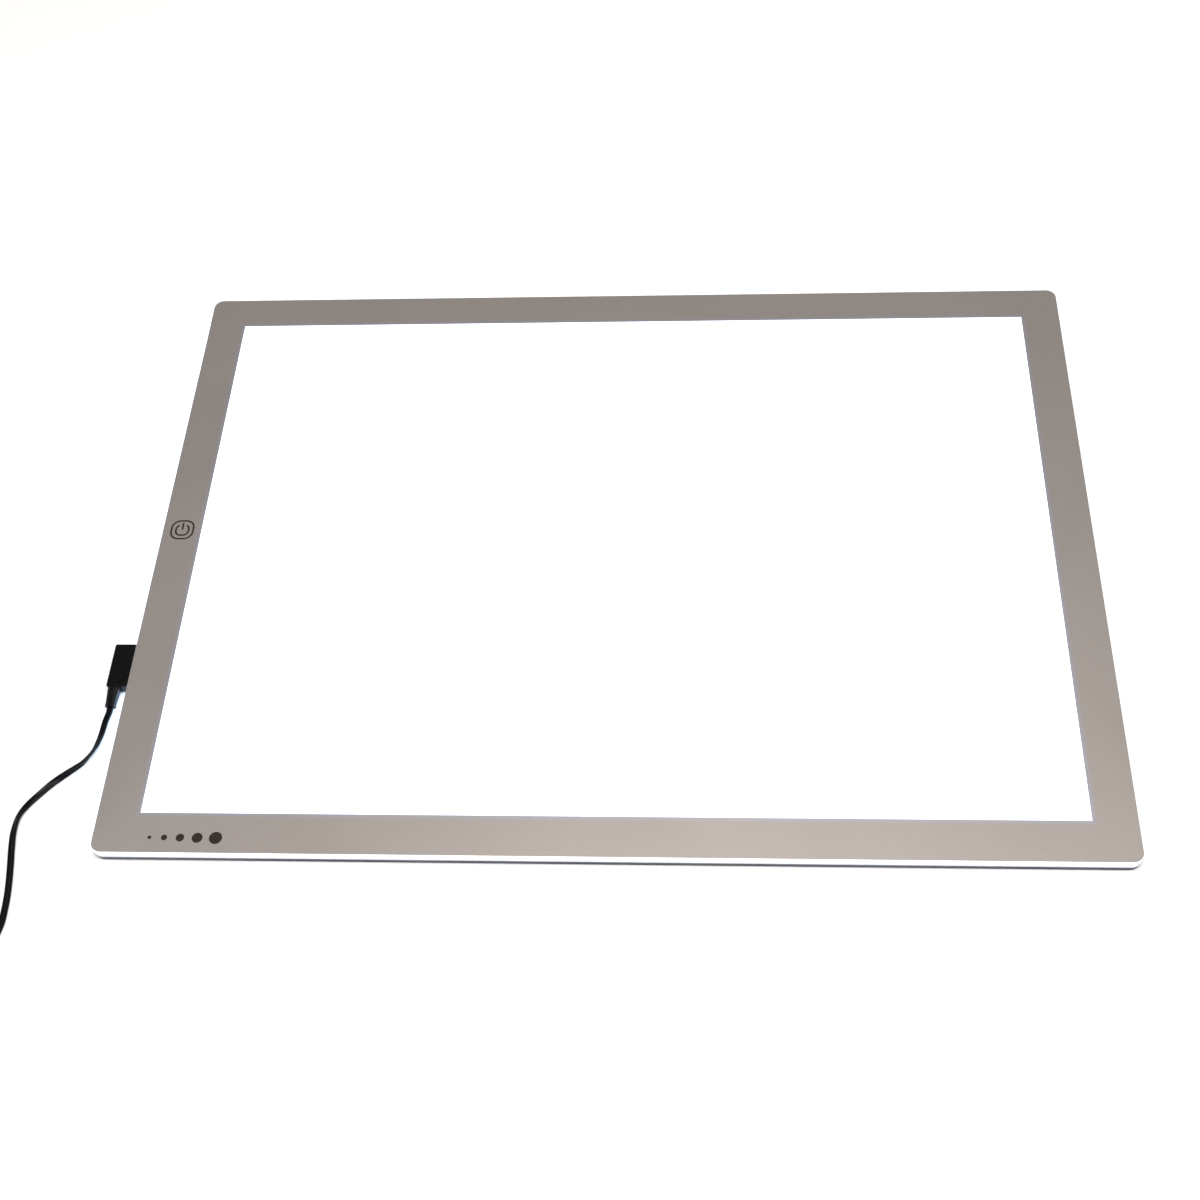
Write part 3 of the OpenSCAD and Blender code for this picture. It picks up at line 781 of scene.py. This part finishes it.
tie_plastic = grained(
    "tie_plastic", (0.03, 0.03, 0.033), (0.018, 0.018, 0.02), 0.4, 0.6, 400, 4000, 0.00001
)
tie_low, tie_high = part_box("coil_tie")
tie_size = tie_high - tie_low
tie_middle = (tie_low + tie_high) / 2
ribbon = 0.0005
bm = bmesh.new()
bm.verts.layers.float.new("along")
loft(bm, [
    (z, tie_size.z - 2 * inset, tie_size.y - 2 * inset, 0.0016 - inset)
    for inset, z in (
        (0.0001, -tie_size.x / 2), (0, -tie_size.x / 2 + 0.0003),
        (0, tie_size.x / 2 - 0.0003), (0.0001, tie_size.x / 2),
        (ribbon, tie_size.x / 2), (ribbon, -tie_size.x / 2), (0.0001, -tie_size.x / 2),
    )
], capped=False)
upright = Matrix.Translation(tie_middle) @ Matrix.Rotation(math.radians(90), 4, "Y")
bmesh.ops.transform(bm, matrix=upright, verts=bm.verts)
tie = finished(bm, "tie_loop", "lead", tie_plastic)
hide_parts("coil_tie")

ends_radius = (outer_turn + inner_turn) / 2
ends_height = tie_high.z + 0.0006
ends_steps, ends_arc, ends_twist = 40, 24, 900
twist = []
for i in range(ends_steps + 1):
    angle = math.radians(-90 - ends_arc * i / ends_steps)
    place = coil_middle + ends_radius * Vector((math.cos(angle), math.sin(angle), 0))
    twist.append(Vector((place.x, place.y, ends_height, ends_twist * i / ends_steps)))
bm = bmesh.new()
section = ring_with_layers(bm, 12)
for v in section:
    v.co = (0.0012 * v.co.x, 0.0005 * v.co.y, 0)
sweep(bm, list({e for v in section for e in v.link_edges}), stations(twist))
tie_ends = finished(bm, "tie_twist", "lead", tie_plastic)


# ---- Plug ----
# Right-angle plug: soft black vinyl moulded over the barrel in a two-part tool, whose
# parting line runs round its middle. A blank pad is sunk in its top, and a tapered sleeve
# with a rolled lip guards the lead.

def rounded(low, high, length, width, corner, edge, steps=4):
    """Outlines of a block with round corners and round upper and lower edges."""
    angles = [math.radians(90 * i / steps) for i in range(steps + 1)]
    lower = [(low + edge * (1 - math.sin(a)), edge * (1 - math.cos(a))) for a in reversed(angles)]
    upper = [(high - edge * (1 - math.sin(a)), edge * (1 - math.cos(a))) for a in angles]
    return [(z, length - 2 * i, width - 2 * i, max(corner - i, 0.0002)) for z, i in lower + upper]


def parting_line(levels, z, ridge):
    """The same outlines with the fine ridge of a mould's parting line added at one height."""
    _, length, width, corner = levels[len(levels) // 2]
    line = [
        (z - ridge, length, width, corner),
        (z, length + ridge, width + ridge, corner),
        (z + ridge, length, width, corner),
    ]
    half = len(levels) // 2
    return levels[:half] + line + levels[half:]


def moulding(name, middle, levels, made, pad=None, turn=None, body="lead"):
    """A moulded solid through its outlines, with a sunk pad of a set margin and depth on top."""
    bm = bmesh.new()
    if pad:
        margin, depth = pad
        z, length, width, corner = levels[-1]
        pad_length, pad_width = length - 2 * margin, width - 2 * margin
        levels = levels + [
            (z, pad_length, pad_width, corner),
            (z - depth, pad_length - 2 * depth, pad_width - 2 * depth, corner),
        ]
    loft(bm, levels)
    place = Matrix.Translation(middle)
    if turn:
        place = place @ turn
    bmesh.ops.transform(bm, matrix=place, verts=bm.verts)
    return finished(bm, name, body, made)


plug_vinyl = grained(
    "plug_vinyl", (0.004, 0.004, 0.0045), (0.0025, 0.0025, 0.003), 0.26, 0.4, 220, 3500, 0.000012,
    gloss=0.12,
)
low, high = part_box("plug_body")
size = high - low
levels = rounded(low.z, high.z, size.x, size.y, 0.0014, 0.0007)
levels = parting_line(levels, (low.z + high.z) / 2, 0.0001)
middle = (low + high) / 2
middle.z = 0
plug = moulding("plug_moulding", middle, levels, plug_vinyl, pad=(0.0032, 0.0002))
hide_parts("plug_body")
dress(nickel, "plug_barrel", "plug_contact")
dress(plug_vinyl, "plug_insulator")


sleeve_vinyl = grained(
    "sleeve_vinyl", (0.004, 0.004, 0.0045), (0.0025, 0.0025, 0.003), 0.2, 0.32, 220, 3500, 0.000008,
    gloss=0.26,
)


def sleeve(name, node, thick, thin, made):
    """A strain relief along -Y: an oval taper that swells out of its plug and ends in a lip."""
    low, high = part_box(node)
    run = high.y - low.y
    levels = []
    for share, swell in (
        (0.0, 0.0), (0.02, 0.0), (0.3, 0.0), (0.6, 0.0), (0.85, 0.0), (0.9, 0.0001),
        (0.93, 0.00025), (0.97, 0.00025), (0.99, 0.0001), (1.0, -0.0003),
    ):
        wide = thick[0] + (thin[0] - thick[0]) * share + 2 * swell
        tall = thick[1] + (thin[1] - thick[1]) * share + 2 * swell
        levels.append((run * share, wide, tall, tall / 2 - 0.0003))
    middle = Vector(((low.x + high.x) / 2, high.y, (low.z + high.z) / 2))
    turn = Matrix.Rotation(math.radians(90), 4, "X")
    piece = moulding(name, middle, levels, made, turn=turn)
    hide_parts(node)
    return piece


plug_sleeve = sleeve(
    "plug_sleeve", "plug_strain_relief", (0.0088, 0.0062), (0.0068, 0.0046), sleeve_vinyl
)


# ---- Adapter ----
# Plug-in supply: two halves of a spark-textured case, welded round the middle, with grip
# grooves above the seam, a blank pad on the pin side and a sleeve for the lead.

case_plastic = grained(
    "case_plastic", (0.018, 0.018, 0.02), (0.012, 0.012, 0.0135), 0.48, 0.62, 90, 1700, 0.00004
)
cover_low, cover_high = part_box("adapter_cover")
base_low, base_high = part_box("adapter_base")
size = cover_high - cover_low
middle = (cover_low + cover_high) / 2
middle.z = 0
seam = 0.0004
case_corner = 0.006
levels = rounded(cover_low.z, cover_high.z, size.x, size.y, case_corner, 0.0022)
levels = [level for level in levels if level[0] < (cover_low.z + cover_high.z) / 2]
levels += [
    (cover_high.z - seam, size.x, size.y, case_corner),
    (cover_high.z, size.x - 2 * seam, size.y - 2 * seam, case_corner - seam),
]
case_back = moulding("adapter_case_back", middle, levels, case_plastic)
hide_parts("adapter_cover")

levels = [
    (base_low.z, size.x - 2 * seam, size.y - 2 * seam, case_corner - seam),
    (base_low.z + seam, size.x, size.y, case_corner),
]
groove, groove_pitch, first_groove = 0.0005, 0.0022, 0.003
for i in range(4):
    z = base_low.z + first_groove + groove_pitch * i
    for step, inset in ((0, 0), (0.0004, groove), (0.0009, groove), (0.0013, 0)):
        levels.append((z + step, size.x - 2 * inset, size.y - 2 * inset, case_corner - inset))
top = rounded(base_low.z, base_high.z, size.x, size.y, case_corner, 0.0018)
levels += [level for level in top if level[0] > (base_low.z + base_high.z) / 2]
case_front = moulding(
    "adapter_case_front", middle, levels, case_plastic, pad=(0.003, 0.0003)
)
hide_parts("adapter_base")
adapter_sleeve = sleeve(
    "adapter_sleeve", "adapter_strain_relief", (0.0084, 0.0064), (0.0062, 0.0042), sleeve_vinyl
)


pin_sleeve_length = 0.0095


def pin_finish():
    """Turned brass, with a moulded black sleeve round the half next to the case."""
    made = grained(
        "pin_brass", (0.78, 0.6, 0.27), (0.66, 0.5, 0.2), 0.18, 0.32, 200, 4000, 0.000006, 1.0
    )
    nodes, link = made.node_tree.nodes, made.node_tree.links.new
    place = nodes.new("ShaderNodeTexCoord")
    height = nodes.new("ShaderNodeSeparateXYZ")
    link(place.outputs["Object"], height.inputs[0])
    bare = nodes.new("ShaderNodeMath")
    bare.operation = "GREATER_THAN"
    bare.inputs[1].default_value = base_high.z + pin_sleeve_length
    link(height.outputs["Z"], bare.inputs[0])
    tone = nodes.new("ShaderNodeMix")
    tone.data_type = "RGBA"
    tone.inputs[6].default_value = (0.015, 0.015, 0.017, 1)
    link(bare.outputs[0], tone.inputs[0])
    link(nodes["grain"].outputs["Color"], tone.inputs[7])
    link(tone.outputs[2], nodes["Principled BSDF"].inputs["Base Color"])
    link(bare.outputs[0], nodes["Principled BSDF"].inputs["Metallic"])
    return made


def blade(name, node, made):
    """A flat pin with a chamfered tip."""
    low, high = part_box(node)
    size = high - low
    middle = (low + high) / 2
    middle.z = 0
    levels = [
        (z, size.x - 2 * inset, size.y - 2 * inset, 0.0004)
        for z, inset in ((low.z, 0), (high.z - 0.002, 0), (high.z - 0.0004, 0.0007), (high.z, 0.001))
    ]
    piece = moulding(name, middle, levels, made)
    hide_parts(node)
    return piece


brass = pin_finish()
pins = [
    blade("pin_live", "live_pin", brass),
    blade("pin_neutral", "neutral_pin", brass),
    blade("pin_earth", "earth_pin", case_plastic),
]

# Inside the case: a wound transformer in yellow tape, and two capacitors in blue sleeves.
winding_tape = grained(
    "winding_tape", (0.8, 0.58, 0.08), (0.68, 0.46, 0.05), 0.3, 0.5, 200, 3000, 0.00001
)
blue_sleeve = grained(
    "blue_sleeve", (0.03, 0.07, 0.22), (0.02, 0.045, 0.15), 0.25, 0.4, 200, 3000, 0.000008
)
dress(winding_tape, "adapter_transformer")
dress(blue_sleeve, "adapter_input_capacitor", "adapter_output_capacitor")

on_lead = [plug, plug_sleeve, tie, tie_ends, case_back, case_front, adapter_sleeve, *pins]
on_lead += ["plug_barrel", "plug_insulator", "plug_contact", "adapter_board"]
on_lead += ["adapter_transformer", "adapter_input_capacitor", "adapter_output_capacitor"]


# ---- Studio ----
# A pale floor, a bright even room and large soft lamps overhead, nearer the front.

bpy.ops.mesh.primitive_plane_add(size=12)
floor = bpy.context.object
floor.name = "studio_floor"
floor_paint = grained(
    "floor_paint", (0.93, 0.93, 0.93), (0.915, 0.915, 0.915), 0.6, 0.75, 1.5, 300, 0.00001
)
floor.data.materials.append(floor_paint)

room = bpy.data.worlds.new("studio_room")
room.use_nodes = True
room.node_tree.nodes["Background"].inputs["Color"].default_value = (1.0, 0.995, 0.985, 1)
room.node_tree.nodes["Background"].inputs["Strength"].default_value = 0.2
bpy.context.scene.world = room


def soft_lamp(name, place, aim, size, power, tone):
    """A square soft box that looks from one point at another."""
    lamp = bpy.data.lights.new(name, "AREA")
    lamp.shape = "SQUARE"
    lamp.size = size
    lamp.energy = power
    lamp.color = tone
    holder = bpy.data.objects.new(name, lamp)
    bpy.context.scene.collection.objects.link(holder)
    holder.location = place
    holder.rotation_euler = (Vector(aim) - Vector(place)).to_track_quat("-Z", "Y").to_euler()


soft_lamp("key_lamp", (0.08, 0.62, 2.0), (0.05, -0.1, 0.0), 0.9, 4.5, (1.0, 0.92, 0.84))
soft_lamp("left_lamp", (-0.4, -0.4, 2.8), (-0.3, -0.1, 0.0), 0.7, 32, (1.0, 0.98, 0.96))
soft_lamp("right_lamp", (0.7, -0.4, 2.8), (0.3, -0.1, 0.0), 0.7, 45, (1.0, 0.98, 0.96))
soft_lamp("wide_left_lamp", (-2.6, 0.3, 2.2), (-0.6, 0.4, 0.0), 1.2, 16, (1.0, 0.99, 0.98))
soft_lamp("wide_right_lamp", (2.8, 0.3, 2.2), (0.6, 0.4, 0.0), 1.2, 14, (1.0, 0.99, 0.98))

bpy.context.scene.view_settings.view_transform = "Standard"
bpy.context.scene.view_settings.look = "None"


# ---- Camera ----
# From above the front, a little right of the middle, with a slight roll.

lens = bpy.data.cameras.new("studio_camera")
lens.lens = 49.69
lens.sensor_width = 36
camera = bpy.data.objects.new("studio_camera", lens)
bpy.context.scene.collection.objects.link(camera)
camera.location = (0.0674, -0.676, 0.9398)
camera.rotation_euler = [math.radians(a) for a in (34.183, 3.310, 2.219)]
bpy.context.scene.camera = camera
